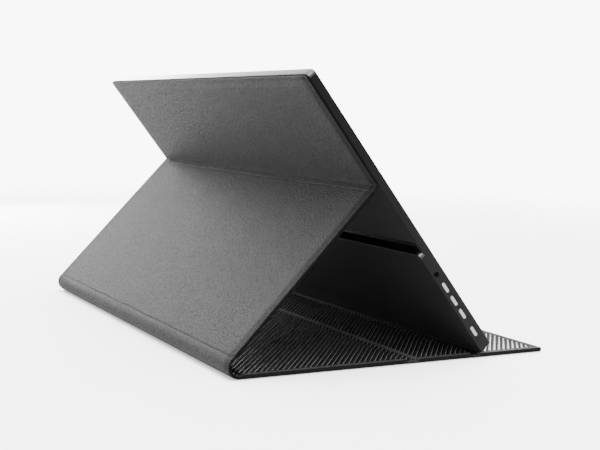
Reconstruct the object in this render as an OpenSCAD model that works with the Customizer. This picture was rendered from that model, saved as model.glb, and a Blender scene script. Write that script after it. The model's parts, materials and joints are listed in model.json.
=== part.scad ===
// Slim portable monitor standing on its own folding magnetic cover.
// X runs along the width, the screen faces -Y, Z is up.
// The origin is at the middle of the footprint, on the table.

/* [Monitor] */
// Width of the monitor
monitor_w = 354; // [350:1:366]
// Height of the monitor along its own back
monitor_h = 212; // [206:1:220]
// Depth of the thin upper part of the monitor
thin_d = 5.2; // [4.9:0.1:6]
// Depth of the thick lower part, which holds the electronics
thick_d = 8.5; // [8.2:0.1:9.4]
// Height of the thick lower part
thick_h = 80; // [76:1:96]
// Height of the black strip let into the back above the thick part
strip_h = 6.5; // [4:0.5:8]
// Thickness of the black strip
strip_t = 0.4; // [0.2:0.05:0.5]
// Corner radius of the case
case_r = 3; // [1.5:0.5:5]
// Radius of the case's lower corners
foot_r = 1.5; // [1:0.5:3]
// Wall of the case at its sides
case_wall = 1.2; // [1:0.1:1.6]
// Wall of the case at its back
case_back = 0.8; // [0.7:0.1:1]
// Lean of the screen up from the table, in degrees
tilt = 52.4; // [50:0.2:55]

/* [Screen] */
// Border at each side of the picture
side_border = 4.9; // [4:0.1:9]
// Border above the picture
top_border = 7.2; // [6:0.2:12]
// Chin between the lower edge of the case and the window
chin_h = 10.2; // [8:0.2:12]
// Depth of the front frame and the front sheet
front_d = 1; // [0.8:0.1:1.1]
// Thickness of the liquid crystal cell
cell_d = 0.7; // [0.5:0.1:0.8]
// Thickness of the light guide
guide_d = 0.7; // [0.5:0.1:0.8]
// Thickness of the steel tray behind the light guide
tray_d = 0.4; // [0.3:0.1:0.5]

/* [Buttons and sockets] */
// Length of a button
button_l = 7.4; // [6.8:0.1:8.8]
// Width of a button
button_w = 2.1; // [1.8:0.1:2.5]
// How far a button stands out
button_proud = 0.3; // [0.2:0.05:0.5]
// How far a button travels
button_travel = 0.4; // [0.2:0.05:0.5]
// Clearance round a button in its slot
button_gap = 0.12; // [0.1:0.01:0.16]
// Distance from the screen's face to the middle line of the buttons and the flat sockets
side_line_d = 5.2; // [5.1:0.05:5.4]
// Height of the power button
power_h = 14.9; // [13:0.1:16]
// Height of the lowest of the three menu buttons
menu_h = 29.6; // [28:0.1:31]
// Distance from one menu button to the next
menu_pitch = 10.75; // [10.6:0.05:11]
// Height of the headphone socket
jack_h = 62; // [61.5:0.1:66]
// Radius of the headphone socket's bore
jack_r = 1.8; // [1.75:0.05:1.85]
// Length of the headphone socket
jack_len = 12; // [10:0.5:14]
// Height of the lowest socket in the other side
socket_low = 30; // [28:0.5:34]
// Distance from one socket to the next
socket_pitch = 14; // [13:0.5:17]
// Width of a USB-C socket
usb_w = 8.9; // [8.6:0.1:9.2]
// Height of a USB-C socket
usb_t = 3.2; // [3:0.1:3.3]
// Width of the mini HDMI socket
hdmi_w = 11; // [10.4:0.1:11.4]
// Depth of the USB-C and HDMI sockets inside the case
socket_len = 7.4; // [6.5:0.1:8.5]

/* [Inside] */
// Clearance from the stack's edges to the window, at each side
stack_side = 0.6; // [0.4:0.1:1]
// Stack below the window, behind the chin
stack_foot = 3.4; // [3:0.1:5]
// Stack above the window
stack_head = 2; // [1.5:0.1:3]
// Height of the LED strip
led_h = 1.9; // [1.5:0.1:2.5]
// Gap from the left side to the main board
board_side = 56; // [50:1:90]
// Gap from the speakers to the main board
board_low = 7; // [4:0.5:10]
// Gap from the ledge to the main board
board_high = 8; // [6:0.5:12]
// Height of the bosses behind the main board
board_stand = 1.7; // [1.5:0.1:1.9]
// Distance from the main board's edges to its screws
screw_in = 6; // [5:0.5:8]
// Radius of the screws
screw_r = 0.75; // [0.6:0.05:0.9]
// Radius of the bosses
boss_r = 2.2; // [2:0.1:3]
// Side of a chip
chip_l = 12; // [8:0.5:14]
// Width of the shield
shield_w = 40; // [30:1:50]
// Height of the shield
shield_h = 26; // [20:1:28]
// Width of the display ribbon
ribbon_w = 32; // [24:1:36]
// Width of the foam pads
foam_w = 12; // [8:1:16]
// Distance from the stack's edge to the outer foam pads
foam_in = 23; // [16:1:30]
// Length of a magnet
magnet_w = 20; // [14:1:24]
// Height of a magnet
magnet_l = 10; // [6:1:12]
// Distance from the stack's edge to the outer magnets
magnet_in = 52; // [46:1:60]
// Distance from the back panel's edges to the magnets
magnet_up = 12; // [8:1:16]
// Width of a speaker
speaker_w = 34; // [24:1:40]
// Height of a speaker
speaker_h = 12; // [10:0.5:14]
// Distance from the case's side to a speaker
speaker_in = 31; // [26:1:40]

/* [Cover] */
// How far the cover stands out past each side of the monitor
cover_side = 0.5; // [0.4:0.1:1.5]
// Thickness of the leather skin
skin_t = 0.6; // [0.5:0.05:0.8]
// Thickness of the ribbed lining
lining_t = 0.4; // [0.3:0.05:0.5]
// Thickness of the boards in the base
base_board_t = 1.6; // [1.2:0.1:2]
// Thickness of the board in the strut
strut_board_t = 1.2; // [1:0.1:1.4]
// Thickness of the steel plate in the back panel
plate_t = 0.5; // [0.4:0.05:0.6]
// Width of the leather turned over each board's edge
hem_w = 1.2; // [1:0.1:2]
// Outer radius of the spine's bend
bend_r = 7.3; // [6.5:0.1:9]
// Length of the base's rear section from the bend to the first groove
rear_len = 110.7; // [104:0.1:114]
// Width of the first groove, which holds the foot for a steeper screen
groove_a_w = 9.3; // [8:0.1:10]
// Length of the base's middle section
middle_len = 38.4; // [36:0.1:42]
// Width of the second groove, which holds the foot as shown
groove_b_w = 7.2; // [6.4:0.1:8]
// Length of the base's front section
front_len = 48; // [44:0.1:52]
// Length of the back panel from the fold to the top edge
panel_len = 79.6; // [78:0.1:84]
// Soft strip of the strut without board beside the fold
fold_strip = 4; // [3.6:0.1:5]
// Soft strip without board beside the spine
spine_strip = 2.2; // [1.8:0.1:3]
// Gap between the back panel and the monitor
panel_gap = 0.2; // [0.15:0.05:0.3]
// Gap between the monitor's lower edge and the base
foot_gap = 0.4; // [0.3:0.05:0.6]

/* [Hidden] */
$fn = 48;
slit = 0.3;          // split between sections of the skin, on the fold lines
window_gap = 0.5;    // window past the picture's edge
eps = 0.01;          // overshoot of a cut past a face
trim_inset = 0.5;    // lining's edge inside the leather's edge
fit_gap = 0.1;       // clearance between parts that are built in
foot_seat = 0.3;     // foot past the groove's front edge

cover_w = monitor_w + 2 * cover_side;
base_t = skin_t + base_board_t + lining_t;
base_len = rear_len + groove_a_w + middle_len + groove_b_w + front_len;
footprint = base_len + bend_r;
bend_y = footprint / 2 - bend_r;    // axis of the spine's bend
bend_z = bend_r;

// Unit vectors along the monitor's height and depth, as [y, z].
up_dir = [cos(tilt), sin(tilt)];
back_dir = [sin(tilt), -cos(tilt)];

// Lower rear edge of the monitor, then the lower front edge.
foot_y = bend_y - (base_len - front_len) - foot_seat;
foot_z = base_t + foot_gap;
corner = [foot_y, foot_z] - thick_d * back_dir;

// Outer face of the back panel, and the fold line on it.
panel_t = skin_t + plate_t + lining_t;
panel_d = thin_d + panel_gap + panel_t;
fold_h = monitor_h - fit_gap * 4 - panel_len;
fold = corner + fold_h * up_dir + panel_d * back_dir;

// The strut's outer face runs from the fold to touch the bend's circle.
reach = norm(fold - [bend_y, bend_z]);
strut_len = sqrt(reach * reach - bend_r * bend_r);
strut_angle = atan2(fold[1] - bend_z, bend_y - fold[0]) - asin(bend_r / reach);
strut_t = skin_t + strut_board_t + lining_t;

// Inside of the monitor, as depths from the screen's face.
cell_back = front_d + cell_d;
guide_back = cell_back + guide_d;
tray_back = guide_back + tray_d;
thin_inner = thin_d - case_back;
thick_inner = thick_d - case_back;
jack_wall = 0.2;
jack_d = thick_inner - fit_gap - jack_wall - jack_r;
window_w = monitor_w - 2 * side_border + 2 * window_gap;
window_h = monitor_h - chin_h - top_border + window_gap;
stack_w = window_w + 2 * stack_side;
stack_low = chin_h - stack_foot;
stack_h = window_h + stack_foot + stack_head;
inner_x = monitor_w / 2 - case_wall;
board_t = 1;
board_d = thick_inner - board_stand - board_t;    // front face of the main board
board_x0 = -inner_x + board_side;
board_x1 = inner_x - socket_len - fit_gap;
board_mid = (board_x0 + board_x1) / 2;
board_h0 = case_wall + speaker_h + board_low;
board_h1 = thick_h - case_wall - board_high;
board_rows = (board_h0 + board_h1) / 2;
screw_x = [board_x0 + screw_in, board_x1 - screw_in];
screw_h = [board_h0 + screw_in, board_h1 - screw_in];
chip_x = [for (i = [-2, -1, 1, 2]) board_mid + i * (board_x1 - board_mid) / 3];
foam_x = [for (i = [-1 : 1]) i * (stack_w / 2 - foam_in)];
magnet_x = [for (i = [-2, -1, 1, 2]) i * (stack_w / 2 - magnet_in) / 2];
magnet_h = [fold_h + magnet_up, monitor_h - magnet_up - magnet_l];
plug_x = board_mid + chip_l;
usb_h = [socket_low + 2 * socket_pitch, socket_low + socket_pitch];
hdmi_h = socket_low;
menu_heights = [for (i = [2, 1, 0]) menu_h + i * menu_pitch];
button_heights = concat(menu_heights, [power_h]);
flange_t = 0.5;
flange_x = inner_x - fit_gap;      // outer face of a button's flange
switch_x = flange_x - flange_t - button_travel - 0.05;
switch_len = 2.2;
button_board_t = 0.8;
speaker_x = inner_x - speaker_in - speaker_w / 2;

// ---- frames -------------------------------------------------------------

// Local x, depth from the screen's face, height up the monitor.
module on_monitor() {
    translate([0, corner[0], corner[1]]) rotate([tilt - 90, 0, 0]) children();
}

// The three frames of the cover: x, distance along the panel, depth from the leather's outer face.
module on_base() {
    translate([0, bend_y, 0]) rotate([0, 0, 180]) children();
}

module on_strut() {
    translate([0, fold[0], fold[1]]) rotate([180 - strut_angle, 0, 0]) rotate([0, 0, 180]) children();
}

module on_panel() {
    translate([0, fold[0], fold[1]]) rotate([tilt, 0, 0]) children();
}

// ---- shared shapes ------------------------------------------------------

// Block from one corner to the opposite one.
module block(low, high) {
    translate(low) cube(high - low);
}

// Extrudes a [y, z] outline along x, centred.
module along_x(w) {
    rotate([90, 0, 90]) translate([0, 0, -w / 2]) linear_extrude(w) children();
}

// Rectangle with round corners, standing on y = 0; the lower corners have their own radius.
module round_rect(w, h, r, low_r) {
    for (s = [-1, 1]) {
        translate([s * (w / 2 - r), h - r]) circle(r);
        translate([s * (w / 2 - low_r), low_r]) circle(low_r);
    }
    translate([-w / 2 + low_r, 0]) square([w - 2 * low_r, low_r]);
    translate([-w / 2, low_r]) square([w, h - low_r - r]);
    translate([-w / 2 + r, h - r]) square([w - 2 * r, r]);
}

// Upright plate with round corners, from depth d0 to depth d1.
module round_plate(w, h, r, low_r, d0, d1) {
    translate([0, d1, 0]) rotate([90, 0, 0]) linear_extrude(d1 - d0) round_rect(w, h, r, low_r);
}

// Slot with round ends along the height, cut through in x.
module side_slot(x0, x1, d, h, len, w) {
    for (s = [-1, 1]) {
        translate([x0, d, h + s * (len - w) / 2]) rotate([0, 90, 0]) cylinder(r = w / 2, h = x1 - x0);
    }
    block([x0, d - w / 2, h - (len - w) / 2], [x1, d + w / 2, h + (len - w) / 2]);
}

// ---- cover sections -----------------------------------------------------

// Leather of a section from a to b, turned up round a board from c to d; free ends get a hem too.
module skin_section(a, b, c, d, board, free_end) {
    block([-cover_w / 2, a, 0], [cover_w / 2, b, skin_t]);
    for (s = [-1, 1]) {
        x = s * (cover_w - hem_w) / 2;
        block([x - hem_w / 2, c, skin_t - eps], [x + hem_w / 2, free_end ? b : d, skin_t + board]);
    }
    if (free_end) {
        block([-cover_w / 2, d, skin_t - eps], [cover_w / 2, b, skin_t + board]);
    }
}

// Board of a section.
module board_section(c, d, board) {
    block([-cover_w / 2 + hem_w, c, skin_t], [cover_w / 2 - hem_w, d, skin_t + board]);
}

// Lining that follows the skin, climbs over the board and goes down again.
module lining_section(a, b, c, d, board, free_end) {
    low = skin_t;
    top = skin_t + board;
    end_l = b - trim_inset;
    near = [[c - lining_t, top + lining_t], [c - lining_t, low + lining_t], [a, low + lining_t],
        [a, low], [c, low], [c, top]];
    far = free_end
        ? [[end_l, top], [end_l, top + lining_t]]
        : [[d, top], [d, low], [b, low], [b, low + lining_t], [d + lining_t, low + lining_t],
            [d + lining_t, top + lining_t]];
    along_x(cover_w - 2 * trim_inset) polygon(concat(near, far));
}

// Part of a ring round the bend's axis, from the base's end up to the strut's.
module bend_ring(r_out, r_in, inset) {
    big = 4 * bend_r;
    translate([0, bend_y, bend_z]) along_x(cover_w - 2 * inset) difference() {
        circle(r_out, $fn = 96);
        circle(r_in, $fn = 96);
        translate([slit / 2 - big, -big / 2]) square(big);
        rotate(90 - strut_angle) translate([-big / 2, -slit / 2]) square(big);
    }
}

// ---- monitor ------------------------------------------------------------

module rear_case() {
    color("#2b2c2e") on_monitor() difference() {
        union() {
            round_plate(monitor_w, monitor_h, case_r, foot_r, 0, thin_d);
            round_plate(monitor_w, thick_h, case_r, foot_r, thin_d - case_back, thick_d);
            for (x = screw_x, h = screw_h) {
                translate([x, thick_d - case_back / 2, h]) rotate([90, 0, 0])
                    cylinder(r = boss_r, h = thick_d - case_back / 2 - board_d - board_t);
            }
        }
        difference() {
            union() {
                block([-inner_x, -eps, case_wall], [inner_x, thin_inner, monitor_h - case_wall]);
                block([-inner_x, -eps, case_wall], [inner_x, thick_inner, thick_h - case_wall]);
            }
            for (x = screw_x, h = screw_h) {
                translate([x, thick_d - case_back / 2, h]) rotate([90, 0, 0])
                    cylinder(r = boss_r, h = thick_d - case_back / 2 - board_d - board_t);
            }
        }
        for (x = screw_x, h = screw_h) {
            translate([x, thick_inner, h]) rotate([90, 0, 0]) cylinder(r = screw_r + 0.05, h = 3);
        }
        block([-monitor_w / 2 + case_r, thin_d - strip_t, thick_h],
            [monitor_w / 2 - case_r, thick_d, thick_h + strip_h]);
        for (h = button_heights) {
            side_slot(-monitor_w / 2 - eps, -inner_x + eps, side_line_d, h,
                button_l + 2 * button_gap, button_w + 2 * button_gap);
        }
        translate([-monitor_w / 2 - eps, jack_d, jack_h]) rotate([0, 90, 0])
            cylinder(r = jack_r + 0.2, h = case_wall + 2 * eps);
        for (h = usb_h) {
            side_slot(inner_x - eps, monitor_w / 2 + eps, side_line_d, h,
                usb_w + 2 * fit_gap, usb_t + 2 * fit_gap);
        }
        side_slot(inner_x - eps, monitor_w / 2 + eps, side_line_d, hdmi_h,
            hdmi_w + 2 * fit_gap, usb_t + 2 * fit_gap);
        for (s = [-1, 1], i = [-2 : 2]) {
            block([s * speaker_x + i * 6 - 2, side_line_d - 0.6, -eps],
                [s * speaker_x + i * 6 + 2, side_line_d + 0.6, case_wall + eps]);
        }
    }
}

module back_strip() {
    color("#0b0b0c") on_monitor() block([-monitor_w / 2 + case_r, thin_d - strip_t, thick_h],
        [monitor_w / 2 - case_r, thin_d, thick_h + strip_h]);
}

module front_frame() {
    inset = case_wall + fit_gap;
    color("#101112") on_monitor() difference() {
        block([-monitor_w / 2 + inset, fit_gap, inset],
            [monitor_w / 2 - inset, front_d, monitor_h - inset]);
        block([-window_w / 2, -eps, chin_h], [window_w / 2, front_d + eps, chin_h + window_h]);
    }
}

module front_sheet() {
    color("#050607") on_monitor()
        block([-window_w / 2 + fit_gap, fit_gap + 0.2, chin_h + fit_gap],
            [window_w / 2 - fit_gap, front_d, chin_h + window_h - fit_gap]);
}

// One flat layer behind the front sheet.
module stack_layer(d0, d1, trim = 0) {
    on_monitor() block([-stack_w / 2 + trim, d0, stack_low + trim],
        [stack_w / 2 - trim, d1, stack_low + stack_h - trim]);
}

module lcd_cell() {
    color("#1c2430") stack_layer(front_d, cell_back);
}

module light_guide() {
    color("#dfe6ea") on_monitor() block([-stack_w / 2, cell_back, stack_low + led_h + fit_gap],
        [stack_w / 2, guide_back, stack_low + stack_h]);
}

module led_strip() {
    color("#f2e9b8") on_monitor() block([-stack_w / 2, cell_back, stack_low],
        [stack_w / 2, guide_back, stack_low + led_h]);
}

module steel_tray() {
    color("#a9adb0") stack_layer(guide_back, tray_back);
}

module mounting_foam() {
    color("#3a3a3c") on_monitor() for (x = foam_x) {
        block([x - foam_w / 2, tray_back, thick_h + foam_w],
            [x + foam_w / 2, thin_inner, stack_low + stack_h - foam_w / 3]);
    }
}

module case_magnets() {
    color("#b8bcc0") on_monitor() for (x = magnet_x, h = magnet_h) {
        block([x - magnet_w / 2, tray_back + fit_gap, h], [x + magnet_w / 2, thin_inner, h + magnet_l]);
    }
}

module main_board() {
    color("#1f5a3a") on_monitor() difference() {
        block([board_x0, board_d, board_h0], [board_x1, board_d + board_t, board_h1]);
        for (x = screw_x, h = screw_h) {
            translate([x, board_d - eps, h]) rotate([-90, 0, 0])
                cylinder(r = screw_r + 0.15, h = board_t + 2 * eps);
        }
    }
}

module board_shield() {
    color("#c4c7c9") on_monitor() block([board_mid - shield_w / 2, board_d + board_t, board_rows - shield_h / 2],
        [board_mid + shield_w / 2, thick_inner - fit_gap, board_rows + shield_h / 2]);
}

module board_chips() {
    color("#26282b") on_monitor() for (x = chip_x) {
        block([x - chip_l / 2, board_d + board_t, board_rows - chip_l / 2],
            [x + chip_l / 2, thick_inner - 4 * fit_gap, board_rows + chip_l / 2]);
    }
}

module display_connector() {
    color("#d8d2c4") on_monitor() block([plug_x - ribbon_w / 2 - 2, tray_back + 0.5, board_h1 - chip_l],
        [plug_x + ribbon_w / 2 + 2, board_d, board_h1 - chip_l / 2]);
}

module display_ribbon() {
    color("#a8672c") on_monitor() block([plug_x - ribbon_w / 2, tray_back + 0.2, board_h1 - chip_l],
        [plug_x + ribbon_w / 2, tray_back + 0.4, thick_h + foam_w / 2]);
}

module board_screws() {
    color("#8c9094") on_monitor() for (x = screw_x, h = screw_h) {
        translate([x, board_d - 0.6, h]) rotate([-90, 0, 0]) cylinder(r = 1.5, h = 0.6);
        translate([x, board_d - 0.1, h]) rotate([-90, 0, 0]) cylinder(r = screw_r, h = board_t + 1.1);
    }
}

module speakers() {
    color("#1a1b1d") on_monitor() for (s = [-1, 1]) {
        block([s * speaker_x - speaker_w / 2, tray_back + 0.2, case_wall + 0.2],
            [s * speaker_x + speaker_w / 2, thick_inner - fit_gap, case_wall + 0.2 + speaker_h]);
    }
}

module headphone_socket() {
    x0 = -inner_x + fit_gap;
    color("#17181a") on_monitor() difference() {
        block([x0, tray_back + fit_gap, jack_h - 3], [x0 + jack_len, thick_inner - fit_gap, jack_h + 3]);
        translate([x0 - eps, jack_d, jack_h]) rotate([0, 90, 0])
            cylinder(r = jack_r, h = jack_len - 1);
    }
}

// Socket shell with a round-ended mouth in the right-hand side.
module socket_shell(h, w) {
    difference() {
        side_slot(inner_x - socket_len, monitor_w / 2 - 0.2, side_line_d, h, w, usb_t);
        side_slot(inner_x - socket_len + 1, monitor_w / 2, side_line_d, h, w - 0.6, usb_t - 0.6);
    }
    side_slot(inner_x - socket_len + 1, monitor_w / 2 - 1, side_line_d, h, w - 2.4, 0.7);
}

module usb_c_sockets() {
    color("#b9bcbf") on_monitor() for (h = usb_h) {
        socket_shell(h, usb_w);
    }
}

module mini_hdmi_socket() {
    color("#b9bcbf") on_monitor() socket_shell(hdmi_h, hdmi_w);
}

module button_board() {
    x1 = -switch_x + switch_len + button_board_t;
    color("#1f5a3a") on_monitor() block([x1 - button_board_t, tray_back + 0.4, power_h - 7],
        [x1, thick_inner - fit_gap, menu_heights[0] + 5]);
}

module tact_switches() {
    color("#9a9da0") on_monitor() for (h = button_heights) {
        block([-switch_x, side_line_d - 1.5, h - 2], [-switch_x + switch_len, side_line_d + 1.5, h + 2]);
    }
}

// A button: a pill through the wall with a flange behind it.
module side_button(h) {
    color("#c9cbcc") on_monitor() {
        side_slot(-monitor_w / 2 - button_proud, -flange_x + eps, side_line_d, h, button_l, button_w);
        side_slot(-flange_x, -flange_x + flange_t, side_line_d, h, button_l + 1, button_w + 1);
    }
}

module menu_button_top() {
    side_button(button_heights[0]);
}

module menu_button_middle() {
    side_button(button_heights[1]);
}

module menu_button_low() {
    side_button(button_heights[2]);
}

module power_button() {
    side_button(button_heights[3]);
}

// ---- cover: back panel and strut ----------------------------------------

module panel_skin() {
    color("#5f6062") on_panel()
        skin_section(slit / 2, panel_len, 1, panel_len - hem_w, plate_t, true);
}

module panel_plate() {
    color("#85888b") on_panel() board_section(1, panel_len - hem_w, plate_t);
}

module panel_lining() {
    color("#18191a") on_panel()
        lining_section(slit / 2, panel_len, 1, panel_len - hem_w, plate_t, true);
}

module strut_skin() {
    color("#77787a") on_strut()
        skin_section(slit / 2, strut_len - slit / 2, fold_strip, strut_len - spine_strip, strut_board_t, false);
}

module strut_board() {
    color("#b9b29f") on_strut() board_section(fold_strip, strut_len - spine_strip, strut_board_t);
}

module strut_lining() {
    color("#18191a") on_strut()
        lining_section(slit / 2, strut_len - slit / 2, fold_strip, strut_len - spine_strip,
            strut_board_t, false);
}

// ---- cover: spine -------------------------------------------------------

module spine_skin() {
    color("#6a6b6d") bend_ring(bend_r, bend_r - skin_t, 0);
}

module spine_lining() {
    color("#18191a") bend_ring(bend_r - skin_t, bend_r - skin_t - lining_t, trim_inset);
}

// ---- cover: base --------------------------------------------------------

rear_end = rear_len + groove_a_w / 2;
middle_start = rear_len + groove_a_w;
middle_end = middle_start + middle_len;
front_fold = middle_end + groove_b_w / 2;
front_start = middle_end + groove_b_w;

module rear_skin() {
    color("#3f4042") on_base()
        skin_section(slit / 2, rear_end - slit / 2, spine_strip, rear_len, base_board_t, false);
}

module rear_board() {
    color("#b9b29f") on_base() board_section(spine_strip, rear_len, base_board_t);
}

module rear_lining() {
    color("#18191a") on_base()
        lining_section(slit / 2, rear_end - slit / 2, spine_strip, rear_len, base_board_t, false);
}

module middle_skin() {
    color("#3f4042") on_base()
        skin_section(rear_end + slit / 2, front_fold - slit / 2, middle_start, middle_end, base_board_t, false);
}

module middle_board() {
    color("#b9b29f") on_base() board_section(middle_start, middle_end, base_board_t);
}

module middle_lining() {
    color("#18191a") on_base()
        lining_section(rear_end + slit / 2, front_fold - slit / 2, middle_start, middle_end,
            base_board_t, false);
}

module front_skin() {
    color("#3f4042") on_base()
        skin_section(front_fold + slit / 2, base_len, front_start, base_len - hem_w, base_board_t, true);
}

module front_board() {
    color("#b9b29f") on_base() board_section(front_start, base_len - hem_w, base_board_t);
}

module front_lining() {
    color("#18191a") on_base()
        lining_section(front_fold + slit / 2, base_len, front_start, base_len - hem_w, base_board_t, true);
}

rear_case();
back_strip();
front_frame();
front_sheet();
lcd_cell();
light_guide();
led_strip();
steel_tray();
mounting_foam();
case_magnets();
main_board();
board_shield();
board_chips();
display_connector();
display_ribbon();
board_screws();
speakers();
headphone_socket();
usb_c_sockets();
mini_hdmi_socket();
button_board();
tact_switches();
menu_button_top();
menu_button_middle();
menu_button_low();
power_button();
panel_skin();
panel_plate();
panel_lining();
strut_skin();
strut_board();
strut_lining();
spine_skin();
spine_lining();
rear_skin();
rear_board();
rear_lining();
middle_skin();
middle_board();
middle_lining();
front_skin();
front_board();
front_lining();
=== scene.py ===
"""A portable monitor that stands on its folding cover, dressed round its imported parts.

Lengths inside the shape functions are millimetres; meshes are written in metres.
"""

import json
import math
from functools import cache

import bmesh
import bpy
import numpy as np
from mathutils import Matrix, Vector


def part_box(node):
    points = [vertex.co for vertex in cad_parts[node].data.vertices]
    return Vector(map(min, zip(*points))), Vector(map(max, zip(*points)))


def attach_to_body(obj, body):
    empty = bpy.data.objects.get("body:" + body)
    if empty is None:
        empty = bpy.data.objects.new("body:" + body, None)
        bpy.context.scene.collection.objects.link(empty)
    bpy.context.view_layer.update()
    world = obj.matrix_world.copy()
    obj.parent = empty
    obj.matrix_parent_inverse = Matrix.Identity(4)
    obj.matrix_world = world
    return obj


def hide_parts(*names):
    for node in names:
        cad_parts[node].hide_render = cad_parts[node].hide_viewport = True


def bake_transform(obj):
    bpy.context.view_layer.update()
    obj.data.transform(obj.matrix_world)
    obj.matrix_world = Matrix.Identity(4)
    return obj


bl_info = {
    "name": "Portable Monitor With Folding Cover",
    "version": (1, 0, 0),
    "blender": (4, 5, 0),
    "location": "3D View > Sidebar > Monitor",
    "description": "Builds a portable monitor that stands on its folding cover",
    "category": "Add Mesh",
}

MM = 0.001
PER_M = 1000.0

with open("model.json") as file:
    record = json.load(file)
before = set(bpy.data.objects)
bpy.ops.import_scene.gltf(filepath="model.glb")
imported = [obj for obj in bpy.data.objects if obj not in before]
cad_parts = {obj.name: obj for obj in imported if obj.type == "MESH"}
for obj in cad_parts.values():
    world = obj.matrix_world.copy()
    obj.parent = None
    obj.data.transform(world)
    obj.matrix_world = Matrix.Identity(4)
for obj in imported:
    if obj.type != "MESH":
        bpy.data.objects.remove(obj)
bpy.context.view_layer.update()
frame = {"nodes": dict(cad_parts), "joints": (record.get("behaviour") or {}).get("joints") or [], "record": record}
joints = {joint["name"]: joint for joint in frame["joints"]}


# ---- what the frame gives ----

def joint_yz(name):
    """Place of a hinge in the side view, as (y, z) in mm."""
    return np.array(joints[name]["pos_m"][1:]) * PER_M


def box_mm(node):
    """Lowest and highest corner of a CAD node in mm."""
    low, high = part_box(node)
    return np.array(low) * PER_M, np.array(high) * PER_M


BEND = joint_yz("cover_open")  # axis of the spine's bend
CREASE = joint_yz("stand_fold")  # where the bend meets the strut
FOLD = joint_yz("panel_fold")  # fold between strut and back panel
RELEASE = np.array(joints["monitor_release"]["axis"][1:])
UP = np.array([RELEASE[1], -RELEASE[0]])  # up the monitor, in the side view
BACK = -RELEASE  # from the screen to the back
BEND_R = float(np.linalg.norm(CREASE - BEND))
STRUT = (FOLD - CREASE) / np.linalg.norm(FOLD - CREASE)

skin_low, skin_high = box_mm("front_skin")
COVER_W = skin_high[0] - skin_low[0]
TIP_Y = skin_low[1]

case_low, case_high = box_mm("rear_case")
MONITOR_W = case_high[0] - case_low[0]
THIN_D, THICK_D, THICK_H = 5.2, 8.5, 80.0  # depth above and below the ledge, and the ledge's height
CORNER = np.array([case_low[1], case_low[2] + THICK_D * UP[0]])  # lower front edge of the monitor
MONITOR_H = (case_high[2] - CORNER[1]) / UP[1]

# Distances along the cover's outer line, from the front tip.
S_BEND = BEND[0] - TIP_Y
BEND_ANGLE = math.atan2(CREASE[1] - BEND[1], CREASE[0] - BEND[0]) + math.pi / 2
S_CREASE = S_BEND + BEND_R * BEND_ANGLE
S_FOLD = S_CREASE + float(np.linalg.norm(FOLD - CREASE))

PANEL_SKIN_T = 1.1  # the highest corner of the CAD skin lies this far in from the cover's outer line
S_END = S_FOLD + (box_mm("panel_skin")[1][2] - FOLD[1] - PANEL_SKIN_T * abs(RELEASE[1])) / UP[1]

STEP = 0.6  # length in which the cover drops from a board to a soft strip
STRUT_START = S_CREASE + 2.2 - STEP  # the strut's board starts 2.2 mm past the bend
STRUT_END = S_FOLD - 4.0 + STEP  # and ends 4 mm before the fold
PANEL_START = S_FOLD + 1.0 - STEP  # the panel's plate starts 1 mm past the fold


def section(node):
    """Start and end of a base section, just past its board, as distances from the front tip."""
    low, high = box_mm(node)
    return low[1] - TIP_Y - STEP, high[1] - TIP_Y + STEP


FRONT = section("front_board")
MIDDLE = section("middle_board")
REAR = section("rear_board")


# ---- settings ----

def linear(code):
    """Linear RGBA of an sRGB hex colour."""
    channels = [int(code[i:i + 2], 16) / 255 for i in (1, 3, 5)]
    return tuple(c / 12.92 if c <= 0.04045 else ((c + 0.055) / 1.055) ** 2.4 for c in channels) + (1.0,)


def number(name, description, default, **kind):
    """A setting that is one number."""
    return bpy.props.FloatProperty(name=name, description=description, default=default, **kind)


def size(name, description, default):
    """A length setting, given in mm and kept in metres."""
    return number(name, description, default * MM, min=0.0, precision=5, subtype="DISTANCE", unit="LENGTH")


def colour(name, description, code):
    """A colour setting, given as an sRGB hex value and kept linear."""
    return bpy.props.FloatVectorProperty(name=name, description=description, default=linear(code),
                                         size=4, min=0.0, max=1.0, subtype="COLOR")


class CoverSettings(bpy.types.PropertyGroup):
    """Sizes and colours of the folding cover."""

    leather: size("Leather", "Thickness of the coated leather", 0.6)
    hem: size("Hem", "Width of the leather turned over the edge", 4.5)
    hem_edge: size("Hem edge", "Radius of the leather's outer edges", 0.5)
    corner: size("Corner", "Radius of the cover's corners", 2.5)
    seam: size("Seam", "Distance from the edge to the turned leather's step", 3.0)
    base_height: size("Base height", "Height of the base with its lining", 2.6)
    strut_height: size("Strut height", "Thickness of the strut with its lining", 2.2)
    panel_height: size("Panel height", "Thickness of the back panel with its lining", 1.5)
    spine_height: size("Spine height", "Thickness of the bend with its lining", 1.8)
    soft_height: size("Soft height", "Thickness where no board lies between", 1.0)
    grain: size("Grain", "Width of one pebble of the grain", 0.95)
    rib_pitch: size("Rib pitch", "Distance from one rib of the lining to the next", 2.9)
    rib_width: size("Rib width", "Width of a rib", 0.36)
    rib_height: size("Rib height", "Height of a rib", 0.1)
    band_width: size("Band width", "Width of the flat band beside each rib", 1.25)
    leather_colour: colour("Leather colour", "Coated leather of the outside", "#262626")
    lining_colour: colour("Lining colour", "Ground of the lining", "#080808")
    band_colour: colour("Band colour", "Flat bands beside the ribs", "#060606")
    # the ribs' light colour is a painted highlight along their crests
    rib_highlight_colour: colour("Rib colour", "Pressed ribs of the lining", "#646464")


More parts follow.
